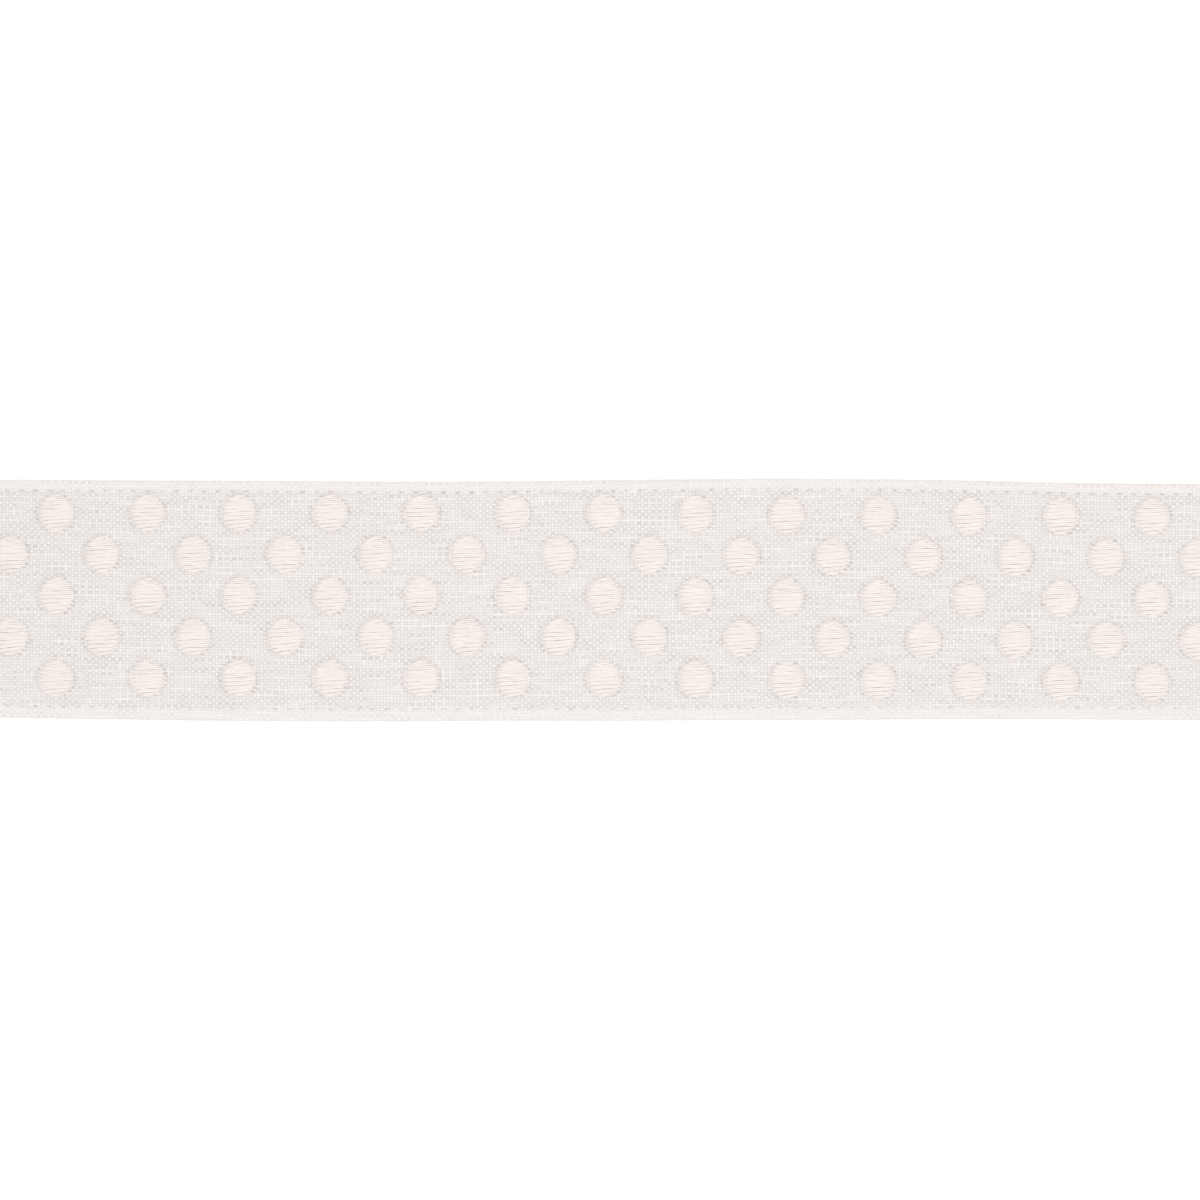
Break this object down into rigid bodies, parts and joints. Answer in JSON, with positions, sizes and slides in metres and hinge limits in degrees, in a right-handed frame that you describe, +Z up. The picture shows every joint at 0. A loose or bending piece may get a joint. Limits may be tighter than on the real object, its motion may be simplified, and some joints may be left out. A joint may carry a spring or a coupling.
{
  "type": "embroidered ribbon",
  "caption": "Flat cut length of off-white plain weave ribbon with stitched hems and staggered rows of raised satin stitch dots.",
  "frame": {"origin": "centre of the rectangle that the ribbon covers, on the surface it lies on", "axes": "+X along the ribbon, +Y across it, +Z up through its embroidered face"},
  "size_m": [0.217, 0.0384, 0.0015],
  "materials": {
    "cloth": "matt off-white plain weave, slightly slubbed",
    "thread": "soft cream embroidery thread with a low sheen"
  },
  "bodies": {
    "root": {"ribbon": "cloth"}
  },
  "joints": []
}
